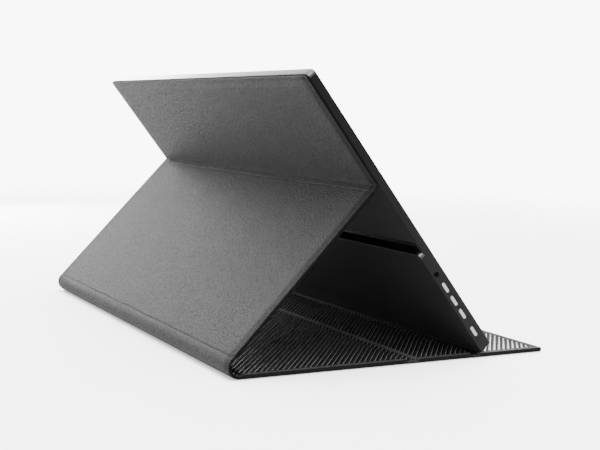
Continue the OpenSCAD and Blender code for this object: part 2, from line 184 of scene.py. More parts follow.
class MonitorSettings(bpy.types.PropertyGroup):
    """Sizes and colours of the monitor."""

    corner: size("Corner", "Radius of the case's upper corners", 3.0)
    foot_corner: size("Foot corner", "Radius of the case's lower corners", 1.5)
    edge: size("Edge", "Radius of the case's rear edge", 0.2)
    chamfer: size("Chamfer", "Bright bevel along the front edge", 0.25)
    wall: size("Wall", "Thickness of the side walls", 1.2)
    back: size("Back", "Thickness of the back wall", 0.8)
    button_length: size("Button length", "Length of a side button", 7.4)
    button_width: size("Button width", "Width of a side button", 2.1)
    case_colour: colour("Case colour", "Anodised case", "#090909")
    button_colour: colour("Button colour", "Moulded buttons", "#7C7C7C")
    # painted shade: the strip above the ledge is a dark sheet where the back lies in shade
    shade_strip_colour: colour("Strip colour", "Glossy strip over the ledge", "#080808")


class StageSettings(bpy.types.PropertyGroup):
    """Floor, light and camera."""

    lens: number("Lens", "Focal length on a 36 mm wide sensor", 71.28)
    azimuth: number("Azimuth", "Heading of the camera's view from +X", -0.46969, subtype="ANGLE")
    pitch: number("Pitch", "Angle that the camera looks down", 0.09884, subtype="ANGLE")
    roll: number("Roll", "Turn of the camera about its view", 0.0184, subtype="ANGLE")
    place: bpy.props.FloatVectorProperty(name="Place", description="Place of the camera", size=3,
                                         default=(-0.779807, 0.372735, 0.154055), subtype="TRANSLATION",
                                         unit="LENGTH")
    room_light: number("Room light", "Strength of the white room", 1.9)
    backdrop_light: number("Backdrop light", "Strength of the lit backdrop behind the object", 9.0)
    ceiling_light: number("Ceiling light", "Strength of the lit ceiling", 12.0)
    side_light: number("Side light", "Power of the softbox beyond the object", 13.0, unit="POWER")
    front_light: number("Front light", "Power of the softbox above the camera", 8.0, unit="POWER")
    table_light: number("Table light", "Strength of the table's own light", 0.5)
    floor_reach: number("Floor reach", "Where the floor fades into the backdrop", 0.55,
                        subtype="DISTANCE", unit="LENGTH")
    floor_colour: colour("Floor colour", "Painted floor", "#F9F9F9")


def settings():
    """The three groups of settings in the scene."""
    scene = bpy.context.scene
    return scene.cover_settings, scene.monitor_settings, scene.stage_settings


def in_mm(group, *names):
    """Length settings in mm."""
    return [getattr(group, name) * PER_M for name in names]


# ---- meshes ----

def placed(name, data):
    """A new object of the scene."""
    made = bpy.data.objects.new(name, data)
    bpy.context.scene.collection.objects.link(made)
    return made


def smooth(mesh, below):
    """Smooth shading, with sharp edges from an angle in degrees on."""
    mesh.polygons.foreach_set("use_smooth", np.ones(len(mesh.polygons), bool))
    mesh.set_sharp_from_angle(angle=math.radians(below))


def new_object(name, shells, material, smooth_below=35.0):
    """One mesh object from closed shells, each (points in mm, faces), with its faces turned outwards."""
    points = np.concatenate([shell[0] for shell in shells])
    faces = []
    start = 0
    for shell_points, shell_faces in shells:
        faces += [[start + corner for corner in face] for face in shell_faces]
        start += len(shell_points)
    mesh = bpy.data.meshes.new(name)
    mesh.from_pydata((points * MM).tolist(), [], faces)
    shaped = bmesh.new()
    shaped.from_mesh(mesh)
    bmesh.ops.recalc_face_normals(shaped, faces=shaped.faces)
    shaped.to_mesh(mesh)
    shaped.free()
    smooth(mesh, smooth_below)
    mesh.materials.append(material)
    return placed(name, mesh)


def loft(rings):
    """Closed shell through rings, an array (rings, points, 3), with a flat cap at both ends."""
    return many_lofts(rings[None])


def many_lofts(rings):
    """One closed shell for each of a batch of lofts, an array (lofts, rings, points, 3)."""
    batch, count, around = rings.shape[:3]
    index = np.arange(batch * count * around).reshape(batch, count, around)
    near, far = index[:, :-1], index[:, 1:]
    quads = np.stack([near, np.roll(near, -1, 2), np.roll(far, -1, 2), far], -1).reshape(-1, 4)
    caps = index[:, 0, ::-1].tolist() + index[:, -1].tolist()
    return rings.reshape(-1, 3), quads.tolist() + caps


def circle(turn):
    """Points of the unit circle, as (cos, sin)."""
    return np.stack([np.cos(turn), np.sin(turn)], -1)


def rounded_outline(half, low, high, top_r, low_r, steps=6):
    """Rectangle with quarter-circle corners, as (x, height) points: corner centre + radius * (cos, sin)."""
    turn = np.linspace(0, math.pi / 2, steps)
    corners = [(half - top_r, high - top_r, top_r), (-half + top_r, high - top_r, top_r),
               (-half + low_r, low + low_r, low_r), (half - low_r, low + low_r, low_r)]
    return np.concatenate([np.array([x, y]) + radius * circle(turn + quarter * math.pi / 2)
                           for quarter, (x, y, radius) in enumerate(corners)])


def on_monitor(x, depth, height):
    """Point of the monitor: lower front edge + depth * back direction + height * up direction."""
    x, depth, height = np.broadcast_arrays(x, depth, height)
    side = CORNER + depth[..., None] * BACK + height[..., None] * UP
    return np.concatenate([x[..., None], side], -1)


# ---- the cover's line ----

ROUND_FOLD = 0.9  # half of the length in which the leather turns at the fold


def cover_line(s):
    """Outer line of the cover and its inner normal in the side view, at distance s from the front tip.

    Straight along the floor, then an arc about the bend's axis, straight up the strut, a parabola through
    the fold, and straight up the back panel. The normal is the direction of travel turned left.
    """
    s = np.asarray(s, float)[..., None]
    turn = (s[..., 0] - S_BEND) / BEND_R - math.pi / 2
    before, after = FOLD - ROUND_FOLD * STRUT, FOLD + ROUND_FOLD * UP
    t = (s - S_FOLD + ROUND_FOLD) / (2 * ROUND_FOLD)
    flat = np.array([1.0, 0.0])
    parts = [
        (s < S_BEND, np.array([TIP_Y, 0.0]) + s * flat, flat + 0 * s),
        (s < S_CREASE, BEND + BEND_R * circle(turn), circle(turn + math.pi / 2)),
        (t < 0, CREASE + (s - S_CREASE) * STRUT, STRUT + 0 * s),
        (t < 1, (1 - t) ** 2 * before + 2 * t * (1 - t) * FOLD + t ** 2 * after, (1 - t) * STRUT + t * UP),
    ]
    place = FOLD + (s - S_FOLD) * UP
    heading = UP + 0 * s
    for inside, part_place, part_heading in reversed(parts):
        place = np.where(inside, part_place, place)
        heading = np.where(inside, part_heading, heading)
    heading = heading / np.linalg.norm(heading, axis=-1, keepdims=True)
    normal = np.stack([-heading[..., 1], heading[..., 0]], -1)
    return place, normal


def on_cover(x, s, n):
    """Point at x across the cover, s along its outer line and n in from the outer face."""
    x, s, n = np.broadcast_arrays(x, s, n)
    place, normal = cover_line(s)
    return np.concatenate([x[..., None], place + n[..., None] * normal], -1)


def cover_height(s):
    """Thickness of the cover at s: boarded sections are high, grooves, bend and fold are soft and low."""
    base, strut, panel, soft, spine = in_mm(settings()[0], "base_height", "strut_height", "panel_height",
                                            "soft_height", "spine_height")

    def boarded(start, end, height):
        """Up a step to a board's height, and down another past it."""
        return [(start, soft), (start + STEP, height), (end - STEP, height), (end, soft)]

    knots = boarded(*FRONT, base)[1:] + boarded(*MIDDLE, base) + boarded(*REAR, base)[:3]
    knots += [(REAR[1], spine), (S_CREASE - STEP, spine), (S_CREASE, soft)]
    knots += boarded(STRUT_START, STRUT_END, strut) + boarded(PANEL_START, 2 * S_END, panel)
    places, heights = zip(*knots)
    return np.interp(s, places, heights)


LEAST_GAP = 0.04  # stations closer than this are merged
SLACK = 1e-6


def stations(start, end, spacing, *close):
    """Distances from start to end at a spacing, finer round each (place, reach, spacing) of close."""
    count = max(2, int(round((end - start) / spacing)) + 1)
    places = [np.linspace(start, end, count)]
    for place, reach, fine in close:
        places.append(np.arange(place - reach, place + reach + fine / 2, fine))
    merged = np.unique(np.round(np.concatenate(places), 3))
    merged = merged[(merged >= start - SLACK) & (merged <= end + SLACK)]
    return merged[np.concatenate([[True], np.diff(merged) > LEAST_GAP])]


# ---- materials ----

def add(tree, kind, inputs=None, output=0, **values):
    """Adds a node with its links and returns one of its outputs.

    kind is the end of the node's type name, inputs are values or the outputs linked to them, and values are
    the node's own settings.
    """
    node = tree.nodes.new("ShaderNode" + kind)
    for key, value in values.items():
        setattr(node, key, value)
    for socket, value in (inputs or {}).items():
        if isinstance(value, bpy.types.NodeSocket):
            tree.links.new(value, node.inputs[socket])
        else:
            node.inputs[socket].default_value = value
    return node.outputs[output]


def new_material(name, base, roughness, **sockets):
    """A material, its nodes, its surface shader and its object coordinates in metres.

    sockets names the shader's other sockets, with _ for a space.
    """
    material = bpy.data.materials.new(name)
    material.use_nodes = True
    tree = material.node_tree
    surface = tree.nodes["Principled BSDF"]
    for key, value in {"Base_Color": base, "Roughness": roughness, **sockets}.items():
        surface.inputs[key.replace("_", " ")].default_value = value
    material.diffuse_color = base
    return material, tree, surface, add(tree, "TexCoord", output="Object")


def mottle(tree, surface, place, base, cell, amount, shade=None):
    """Base colour that drifts lighter and darker in clouds of a size in mm, times a shade if there is one."""
    clouds = add(tree, "TexNoise", {"Vector": place, "Scale": PER_M / cell, "Detail": 3.0})
    darker, lighter = [[channel * (1 + way * amount) for channel in base[:3]] + [1.0] for way in (-1, 1)]
    drift = add(tree, "Mix", {"Factor": clouds, "A": darker, "B": lighter}, "Result", data_type="RGBA")
    if shade:
        drift = add(tree, "VectorMath", {0: drift, "Scale": shade}, operation="SCALE")
    tree.links.new(drift, surface.inputs["Base Color"])


def grained(name, base, roughness, cell, depth, drift=0.12, **sockets):
    """Moulded, cast or blasted surface: cells of a size in mm that stand out by a depth in mm.

    A grain finer than about half a millimetre is drawn as coarse as that, so that it still shows.
    """
    material, tree, surface, place = new_material(name, base, roughness, **sockets)
    mottle(tree, surface, place, base, 24 * cell, drift)
    cells = add(tree, "TexVoronoi", {"Vector": place, "Scale": PER_M / cell})
    bump = add(tree, "Bump", {"Height": cells, "Distance": depth * MM})
    tree.links.new(bump, surface.inputs["Normal"])
    return material


LYING, STANDING = 62.0, 66.0  # mm up the panel's slope, between what lies on the table and what stands
AWAY = 20.0  # mm that take a place out of every zone along the edge
PEBBLE, VALLEY = 0.1, 0.65  # distances from a pebble's middle, in cells: end of its top, bottom of its valley
LIT_CREASE = 16.6  # mm from the middle to the crease in front of it, whose edge gets a painted highlight


@cache
def pebbled_leather():
    """Polyurethane-coated split leather, embossed with a pebble grain: round bumps that catch a soft light.

    The pebbles' tops are drawn lighter and their valleys darker and duller. Along the strut's and the panel's
    edges the colour holds a band of painted shade with a line of painted highlight in it; the base's hem and a
    band under the top edge hold painted highlight, the top edge and the whole back panel painted shade, and the
    cut edge is dyed black.
    """
    cover = settings()[0]
    material, tree, surface, place = new_material("pebbled_coated_leather", cover.leather_colour, 0.55,
                                                  Specular_IOR_Level=0.025)
    grain = cover.grain * PER_M
    wobble = add(tree, "TexNoise", {"Vector": place, "Scale": PER_M / (3 * grain), "Detail": 1.0}, "Color")
    shift = add(tree, "VectorMath", {0: wobble, "Scale": 1.5 * grain * MM}, operation="SCALE")
    bent = add(tree, "VectorMath", {0: place, 1: shift}, operation="ADD")
    pebble = add(tree, "TexVoronoi", {"Vector": bent, "Scale": PER_M / grain}, feature="SMOOTH_F1")
    pores = add(tree, "TexNoise", {"Vector": place, "Scale": PER_M / (0.35 * grain), "Detail": 2.0})
    dull, shade = [add(tree, "MapRange", {"Value": pebble, "From Min": PEBBLE, "From Max": VALLEY,
                                          "To Min": on_top, "To Max": in_valley})
                   for on_top, in_valley in ((0.5, 0.68), (1.15, 0.78))]
    tree.links.new(dull, surface.inputs["Roughness"])

    top, fold = Vector(point_on(S_END)), Vector(point_on(PANEL_START))
    upwards = (top - fold).normalized()
    height = add(tree, "VectorMath", {0: place, 1: upwards}, "Value", operation="DOT_PRODUCT")
    across = add(tree, "Math", {0: add(tree, "SeparateXYZ", {0: place}, "X")}, operation="ABSOLUTE")
    asides = [add(tree, "MapRange", {"Value": height, "From Min": LYING * MM, "From Max": STANDING * MM,
                                     "To Min": low * MM, "To Max": high * MM})
              for low, high in ((-AWAY, 0.0), (0.0, -AWAY))]
    standing, lying = [add(tree, "Math", {0: across, 1: aside}, operation="ADD") for aside in asides]
    side, end, start = COVER_W / 2 * MM, top.dot(upwards), fold.dot(upwards)
    # what is measured, its limit, mm before the limit at which the shade starts and is full, and the shade
    # painted shade and highlight along the strut's and panel's edges, painted highlight on the base's hem, the cut
    # edge's black dye, painted highlight under the top edge, painted shade at the top edge and over the back panel
    zones = [(standing, side, 9.0, 5.5, 0.4), (standing, side, 4.2, 2.5, 1.35), (lying, side, 4.7, 4.4, 1.4),
             (across, side, 0.7, 0.4, 0.15), (height, end, 8.0, 6.5, 1.25), (height, end, 5.5, 0.5, 0.8),
             (height, start, -1.0, -4.0, 0.84)]
    for measure, limit, outer, inner, factor in zones:
        zone = add(tree, "MapRange", {"Value": measure, "From Min": limit - outer * MM,
                                      "From Max": limit - inner * MM, "To Min": 1.0, "To Max": factor},
                   interpolation_type="SMOOTHSTEP")
        shade = add(tree, "Math", {0: shade, 1: zone}, operation="MULTIPLY")
    mottle(tree, surface, place, cover.leather_colour, 30.0, 0.08, shade)
    lowered = add(tree, "Math", {0: pebble, 1: -1.0}, operation="MULTIPLY")
    embossed = add(tree, "Math", {0: pores, 1: 0.25, 2: lowered}, operation="MULTIPLY_ADD")
    bump = add(tree, "Bump", {"Height": embossed, "Distance": 0.45 * MM})
    tree.links.new(bump, surface.inputs["Normal"])
    return material


@cache
def lining_cloth():
    """Calendered microfibre, near black: it only shines at a low angle, and one crease's edge carries a painted
    highlight.

    The nap is drawn half a millimetre wide, coarser than it is, so that it shows.
    """
    cover = settings()[0]
    material, tree, surface, place = new_material("calendered_microfibre", cover.lining_colour, 0.8,
                                                  Specular_IOR_Level=0.06)
    along = add(tree, "SeparateXYZ", {0: place}, "Y")
    past = add(tree, "Math", {0: along, 1: LIT_CREASE * MM}, operation="ADD")
    beside = add(tree, "Math", {0: past}, operation="ABSOLUTE")
    # painted highlight: a thin line along the crease's edge, 17 times the cloth's colour
    crease_highlight = add(tree, "MapRange", {"Value": beside, "From Min": 0.2 * MM, "From Max": 0.5 * MM,
                                  "To Min": 17.0, "To Max": 1.0})
    mottle(tree, surface, place, cover.lining_colour, 12.0, 0.1, crease_highlight)
    nap = add(tree, "TexNoise", {"Vector": place, "Scale": PER_M / 0.5, "Detail": 2.0})
    bump = add(tree, "Bump", {"Height": nap, "Distance": 0.05 * MM})
    tree.links.new(bump, surface.inputs["Normal"])
    return material


@cache
def pressed_ribs():
    """The same microfibre pressed into ribs under heat: smoother than the ground between them, and drawn lighter
    as a painted highlight along their crests.
    """
    return grained("heat_pressed_ribs", settings()[0].rib_highlight_colour, 0.5, 0.6, 0.01, 0.1, Specular_IOR_Level=0.3)


@cache
def pressed_bands():
    """The nap laid flat beside each rib: as dark as the ground, but it mirrors light at a low angle."""
    return grained("laid_over_nap", settings()[0].band_colour, 0.25, 0.6, 0.01, 0.1, Specular_IOR_Level=0.26)


@cache
def anodised_case():
    """Aluminium, blasted and anodised black: the dye hides the metal, and only a low angle lightens it."""
    return grained("black_anodised_aluminium", settings()[1].case_colour, 0.38, 0.5, 0.02,
                   Specular_IOR_Level=0.06, Sheen_Weight=0.055, Sheen_Roughness=0.4)


@cache
def highlight_rim():
    """The same aluminium on upward-facing corners and the top rim: still dark, glossy with a clear reflection of
    the ceiling, and drawn lighter as a painted highlight.
    """
    return grained("highlit_anodised_rim", linear("#1A1A1A"), 0.25, 0.5, 0.005)


@cache
def moulded_button():
    """ABS moulded in a polished tool and painted light grey."""
    return grained("painted_abs_button", settings()[1].button_colour, 0.38, 0.4, 0.005, 0.03)


@cache
def shade_strip():
    """Cast, polished acrylic printed black: a dark mirror, laid over the back above the ledge and on the ledge's
    face as painted shade.
    """
    return grained("black_acrylic_shade_strip", settings()[1].shade_strip_colour, 0.12, 6.0, 0.004, 0.2)


# ---- the cover ----

def bullnose(half, height, radius, steps=5):
    """Right-hand edge from the outer face to the inner face: two quarter circles of one radius."""
    turn = np.linspace(0, math.pi / 2, steps)
    half, height, radius = half[:, None], height[:, None], radius[:, None]
    low, high = radius * (1 - np.sin(turn)), radius * (1 - np.cos(turn))
    return np.concatenate([half - low, half - high], 1), np.concatenate([high, height - low], 1)


SEAM_STEP, SEAM_RUN = 0.22, 0.5  # the leather's step where it is turned over the board, and its slope's width
END_ROUND = 0.9  # length in which a free end closes
TIP_TURN = 0.12  # radians of the closing quarter circle that its flat tip takes
EDGE_SHARE = 0.45  # most of the cover's height that an edge's radius or the leather takes
ACROSS, FINE_ACROSS = 40, 150  # points over the outer face, without and with creases


def relief(x, s, half, creases):
    """How far the outer face lies in: a step along the turned edge, and creases with a Gaussian section.

    A crease wanders along s by two sines of x, and its depth swells and fades with three more.
    """
    edge = (np.abs(x) - half + settings()[0].seam * PER_M) / SEAM_RUN
    depth = SEAM_STEP * np.clip(edge, 0, 1)
    for place, width, deep in creases:
        wander = 0.25 * np.sin(0.11 * x + 1.3) + 0.15 * np.sin(0.31 * x)
        broken = 0.65 + 0.35 * np.sin(0.23 * x + 0.8 * np.sin(0.07 * x)) * np.sin(0.61 * x + 2.0)
        depth = depth + deep * broken * np.exp(-((s - place - wander) / width) ** 2)
    return depth


def leather_section(s, height, half, across, inner_x, inner_n, creases):
    """Outer face, round edges and inner points of the leather, as grids of x, s and n.

    The outer face is in relief, which fades out half way up the edges.
    """
    radius = np.minimum(settings()[0].hem_edge * PER_M, EDGE_SHARE * height)
    face_x = (half - radius)[:, None] * np.linspace(-1, 1, across)[1:-1]
    edge_x, edge_n = bullnose(half, height, radius)
    x = np.concatenate([face_x, edge_x, inner_x, -inner_x[:, ::-1], -edge_x[:, ::-1]], 1)
    n = np.concatenate([0 * face_x, edge_n, inner_n, inner_n[:, ::-1], edge_n[:, ::-1]], 1)
    outer = np.clip(1 - 2 * n / height[:, None], 0, 1)
    outer[:, face_x.shape[1] + edge_x.shape[1]:-edge_x.shape[1]] = 0
    grid_s = np.broadcast_to(s[:, None], x.shape)
    return x, grid_s, n + outer * relief(x, grid_s, half[:, None], creases)


def leather_shell(s, across):
    """Leather turned round a board: a C-shaped section, outer face, two round edges and two hems, along s."""
    height = cover_height(s)
    half = np.full_like(s, COVER_W / 2)
    leather, hem = in_mm(settings()[0], "leather", "hem")
    wall = np.minimum(leather, EDGE_SHARE * height)
    inner_x = np.stack([half - hem, half - hem, half - wall, half - wall], 1)
    inner_n = np.stack([height, height - wall, height - wall, wall], 1)
    return loft(on_cover(*leather_section(s, height, half, across, inner_x, inner_n, CREASES)))


def end_shell(end, inwards):
    """Solid hem at a free end: the section shrinks over the last millimetre along a quarter circle."""
    corner, hem = in_mm(settings()[0], "corner", "hem")
    d = np.unique(np.concatenate([END_ROUND * (1 - np.cos(np.linspace(TIP_TURN, math.pi / 2, 7))),
                                  np.linspace(END_ROUND, max(corner, hem), 6)]))
    s = end + inwards * d
    height = cover_height(s)
    half = COVER_W / 2 - corner + np.sqrt(corner ** 2 - np.clip(corner - d, 0, None) ** 2)
    none = np.empty((len(s), 0))
    x, grid_s, n = leather_section(s, height, half, ACROSS, none, none, ())
    close = np.sqrt(1 - np.clip(1 - d / END_ROUND, 0, None) ** 2)
    middle = height[:, None] / 2
    return loft(on_cover(x, grid_s, middle + (n - middle) * close[:, None]))


LINING_GAP = 0.35  # dark gap between the hem and the lining
LINING_T, LINING_BEVEL = 0.4, 0.12
RIB = np.array([0.7986, -0.6018])  # direction of a rib as (x, s): 37 degrees off across the cover
RIB_SIDE = 0.5  # from the lining's edge to the ribs' ends
RIB_TOP = 0.56  # share of a rib's width that is flat
RIB_ROOT = 0.05  # depth to which ribs and bands reach into the lining
SHORTEST_RIB = 1.0  # what is shorter is left out


def lining_half():
    """Half of the lining's width."""
    return COVER_W / 2 - settings()[0].hem * PER_M - LINING_GAP


def lining_shell(s):
    """Flat strip with bevelled long edges that follows the cover's height."""
    half = np.full_like(s, lining_half())
    top = cover_height(s)
    low, shoulder = top - LINING_T, top - LINING_BEVEL
    x = np.stack([-half, half, half, half - LINING_BEVEL, LINING_BEVEL - half, -half], 1)
    n = np.stack([low, low, shoulder, top, top, shoulder], 1)
    return loft(on_cover(x, np.broadcast_to(s[:, None], x.shape), n))


def rib_shells(start, end, count, width, rise, beside=0.0):
    """Pressed ribs between two places on the cover's line, or bands that lie beside them.

    A rib lies where x * sin + s * cos is a multiple of the pitch, is clipped to the strip, and has a
    trapezoid section.
    """
    pitch = settings()[0].rib_pitch * PER_M
    (rib_x, rib_s), (side_x, side_s) = RIB, (-RIB[1], RIB[0])
    half = lining_half() - RIB_SIDE
    phases = np.array([way * half * side_x + s * side_s for way in (-1, 1) for s in (start, end)])
    phase = pitch * np.arange(math.ceil(phases.min() / pitch), math.floor(phases.max() / pitch) + 1)
    first = np.maximum((-half - side_x * phase) / rib_x, (side_s * phase - end) / -rib_s)
    last = np.minimum((half - side_x * phase) / rib_x, (side_s * phase - start) / -rib_s)
    kept = last - first > SHORTEST_RIB
    phase, first, last = phase[kept], first[kept], last[kept]
    along = (first[:, None] + (last - first)[:, None] * np.linspace(0, 1, count))[..., None]
    line = phase[:, None, None] + np.array([-1, -RIB_TOP, RIB_TOP, 1]) * width / 2 + beside
    s = np.clip(side_s * line + rib_s * along, start, end)
    n = cover_height(s) + [-RIB_ROOT, rise, rise, -RIB_ROOT]
    return many_lofts(on_cover(side_x * line + rib_x * along, s, n))


def point_on(s):
    """Point of the cover's outer line in metres."""
    place = cover_line(np.array(s))[0] * MM
    return (0.0, float(place[0]), float(place[1]))


SPINE_SPLIT = S_BEND + 0.7 * (S_CREASE - S_BEND)  # from here on the bend also follows the strut

# name, start, end, spacing, bodies from start to end, CAD node it stands for
STRIPS = [
    ("front", 0.0, FRONT[1], 6.0, ("base_front",), "front"),
    ("front_groove", FRONT[1], MIDDLE[0], 0.6, ("base_front", "base_middle"), None),
    ("middle", MIDDLE[0], MIDDLE[1], 6.0, ("base_middle",), "middle"),
    ("middle_groove", MIDDLE[1], REAR[0], 0.6, ("base_middle", "base"), None),
    ("rear", REAR[0], REAR[1], 6.0, ("base",), "rear"),
    ("spine", REAR[1], SPINE_SPLIT, 0.5, ("base", "spine"), "spine"),
    ("strut_crease", SPINE_SPLIT, STRUT_START, 0.4, ("spine", "strut"), None),
    ("strut", STRUT_START, STRUT_END, 5.0, ("strut",), "strut"),
    ("panel_fold", STRUT_END, PANEL_START, 0.35, ("strut", "back_panel"), None),
    ("panel", PANEL_START, S_END, 5.0, ("back_panel",), "panel"),
]
# place on the cover's line, width and depth
CREASES = [(S_CREASE + 1.5, 0.5, 0.5), (S_BEND - 1.5, 0.5, 0.25), (S_FOLD - 4.6, 0.45, 0.35),
           (S_FOLD, 0.5, 0.6)]
PLAIN_END = 0.8  # a stiff section's ribs stop this short of its ends
BAND_RISE = 0.06  # height of a band over the lining


def near_ends(low, high):
    """Finer stations where the cover steps between a board and a soft strip."""
    return [(low + STEP, 0.7, 0.3), (high - STEP, 0.7, 0.3)]


def attach(piece, bodies):
    """Rides on one body; a piece between two bodies gets its place baked into its mesh."""
    if len(bodies) == 1:
        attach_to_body(piece, bodies[0])
    else:
        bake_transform(piece)


class BuildLeather(bpy.types.Operator):
    """Outer leather of every section, turned over at its edges, with the soft strips between."""

    bl_idname = "monitor.build_leather"
    bl_label = "Leather"

    def execute(self, context):
        hem = settings()[0].hem * PER_M
        for name, start, end, spacing, bodies, node in STRIPS:
            low = hem if start == 0.0 else start
            high = S_END - hem if end == S_END else end
            creased = [(place, 2.0, 0.2) for place, _, _ in CREASES if low < place < high]
            across = FINE_ACROSS if len(bodies) > 1 or creased else ACROSS
            line = stations(low, high, spacing, *creased, *near_ends(low, high))
            shells = [leather_shell(line, across)]
            shells += [end_shell(free, way) for free, way in ((0.0, 1), (S_END, -1)) if free in (start, end)]
            piece = new_object(name + "_leather", shells, pebbled_leather())
            attach(piece, bodies)
            if node:
                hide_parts(node + "_skin")
        return {"FINISHED"}


class BuildLining(bpy.types.Operator):
    """Ribbed lining of every section, inside the turned leather."""

    bl_idname = "monitor.build_lining"
    bl_label = "Lining"

    def execute(self, context):
        hem, rib, band, rib_rise = in_mm(settings()[0], "hem", "rib_width", "band_width", "rib_height")
        inset = hem + LINING_GAP
        kinds = [("ribs", rib, rib_rise, 0.0, pressed_ribs),
                 ("bands", band, BAND_RISE, -(rib + band) / 2, pressed_bands)]
        for name, start, end, spacing, bodies, node in STRIPS:
            low = inset if start == 0.0 else start
            high = S_END - inset if end == S_END else end
            short, count = (0.0, 14) if len(bodies) > 1 else (PLAIN_END, 2)
            cloth = lining_shell(stations(low, high, spacing, *near_ends(low, high)))
            piece = new_object(name + "_lining_cloth", [cloth], lining_cloth(), 20.0)
            attach(piece, bodies)
            for kind, width, rise, beside, maker in kinds:
                shells = [rib_shells(low + short, high - short, count, width, rise, beside)]
                attach(new_object(f"{name}_lining_{kind}", shells, maker(), 20.0), bodies)
            if node:
                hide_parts(node + "_lining")
        return {"FINISHED"}


# ---- the monitor ----

def plate(half, low, high, top_r, low_r, profile):
    """Upright plate with round corners: its outline, moved in, at each (depth, inset) of a profile."""
    rings = []
    for depth, inset in profile:
        outline = rounded_outline(half - inset, low + inset, high - inset, top_r - inset, low_r - inset)
        rings.append(on_monitor(outline[:, 0], np.array(depth), outline[:, 1]))
    return loft(np.array(rings))


def block(x0, x1, d0, d1, h0, h1):
    """Plain box in the monitor's frame, used only to cut with."""
    corners = np.array([(x0, h0), (x1, h0), (x1, h1), (x0, h1)])
    return loft(np.array([on_monitor(corners[:, 0], np.array(d), corners[:, 1]) for d in (d0, d1)]))


def pill(length, width, steps=9):
    """Outline with round ends, as (depth, height) from its centre: half circles moved apart."""
    top = circle(np.linspace(0, math.pi, steps)) * width / 2 + [0, (length - width) / 2]
    return np.concatenate([top, -top])


def side_loft(depth, height, profile):
    """Pill-shaped rings one behind the other in x, for each (x, length, width) of a profile."""
    outlines = [(np.array(x), pill(length, width)) for x, length, width in profile]
    return loft(np.array([on_monitor(x, depth + ring[:, 0], height + ring[:, 1]) for x, ring in outlines]))


def centre(node):
    """Middle of a CAD node of the monitor, as (x, depth, height)."""
    low, high = box_mm(node)
    middle = (low + high) / 2
    across = middle[1:] - CORNER
    return middle[0], float(across @ BACK), float(across @ UP)


def cut(piece, *cutters, operation="DIFFERENCE"):
    """Applies one exact boolean after another and removes the cutters."""
    for cutter in cutters:
        modifier = piece.modifiers.new("cut", "BOOLEAN")
        modifier.operation = operation
        modifier.solver = "EXACT"
        modifier.object = cutter
        depsgraph = bpy.context.evaluated_depsgraph_get()
        depsgraph.update()
        shaped = bpy.data.meshes.new_from_object(piece.evaluated_get(depsgraph))
        piece.modifiers.clear()
        piece.data = shaped
        bpy.data.objects.remove(cutter)
    return piece


BUTTONS = ["menu_button_top", "menu_button_middle", "menu_button_low", "power_button"]
# the strip's recess above the ledge: the strip is painted shade
STRIP_LOW, STRIP_HIGH = THICK_H, THICK_H + 6.5
STRIP_SUNK = 0.4  # recess that the strip lies in
SIDE_GAP = 0.12  # round each button
FLANGE_T, FLANGE, SHARP = 0.5, 1.0, 0.01  # a button's flange: thickness, extra width, run of its step
JACK_MOUTH = 3.6
DATA_MOUTH, PICTURE_MOUTH, MOUTH_T = 9.1, 11.2, 3.4  # lengths and thickness of the flat sockets' mouths
SOCKET_PITCH = 14.0  # from one data socket to the other
SPEAKER_IN = 17.0  # from the speakers' outer end to the middle of their slots
SLOT_PITCH, SLOT_W, SLOT_T = 6.0, 4.0, 1.2  # of the speakers' slots
PAST = 0.1  # how far a cutter reaches past the wall it goes through
FOOT = 0.7  # the case reaches down to the lining, on which it stands
FACING = 0.15  # least part of a normal along a direction for a face to be seen from there
LEVEL, LEVEL_GAP = 0.99, 0.05  # the same for the ledge's face, and its distance from its height


def case_slots(monitor, half, wall):
    """Every opening of the case: buttons and jack in one side, sockets in the other, speaker slots below."""
    near, far = (-half - 1, wall - half + PAST), (half - wall - PAST, half + 1)
    length, width = [side + 2 * SIDE_GAP for side in in_mm(monitor, "button_length", "button_width")]
    slots = [side_loft(*centre(name)[1:], [(x, length, width) for x in near]) for name in BUTTONS]
    jack = np.array(next(mount["pos_m"] for mount in frame["record"]["mounts"]
                         if mount["name"] == "headphone_jack")[1:]) * PER_M - CORNER
    slots.append(side_loft(float(jack @ BACK), float(jack @ UP), [(x, JACK_MOUTH, JACK_MOUTH) for x in near]))
    depth, middle = centre("usb_c_sockets")[1:]
    slots += [side_loft(depth, height, [(x, mouth, MOUTH_T) for x in far])
              for height, mouth in [(middle + SOCKET_PITCH / 2, DATA_MOUTH),
                                    (middle - SOCKET_PITCH / 2, DATA_MOUTH),
                                    (centre("mini_hdmi_socket")[2], PICTURE_MOUTH)]]
    spread = box_mm("speakers")[1][0] - SPEAKER_IN
    slots += [block(x - SLOT_W / 2, x + SLOT_W / 2, depth - SLOT_T / 2, depth + SLOT_T / 2, -1, wall + PAST)
              for side in (-1, 1) for x in side * spread + SLOT_PITCH * np.arange(-2, 3)]
    return slots


def finish_case(case, radius):
    """Gives the ledge's face the strip's black finish as painted shade, and the ledge block's upward corners and
    the top rim a lighter, glossier finish as painted highlight.
    """
    smooth(case.data, 30)
    for maker in (shade_strip, highlight_rim):
        case.data.materials.append(maker())
    faces = case.data.polygons
    centres, normals = np.empty(3 * len(faces)), np.empty(3 * len(faces))
    faces.foreach_get("center", centres)
    faces.foreach_get("normal", normals)
    centres, normals = centres.reshape(-1, 3)[:, 1:] * PER_M - CORNER, normals.reshape(-1, 3)
    high, deep, rise = centres @ UP, centres @ BACK, normals[:, 1:] @ UP
    # painted shade: the ledge's face takes the black strip's finish
    ledge = (abs(high - THICK_H) < LEVEL_GAP) & (rise > LEVEL)
    # painted highlight: upward-facing corners of the ledge block and the top rim take the lighter, glossier rim
    # finish
    corner = (rise > FACING) & (abs(normals[:, 0]) > FACING) & (high > THICK_H - radius) & (deep > THIN_D)
    top = (rise > FACING) & (high > MONITOR_H - radius)
    faces.foreach_set("material_index", (ledge + 2 * (corner | top)).astype(np.int32))


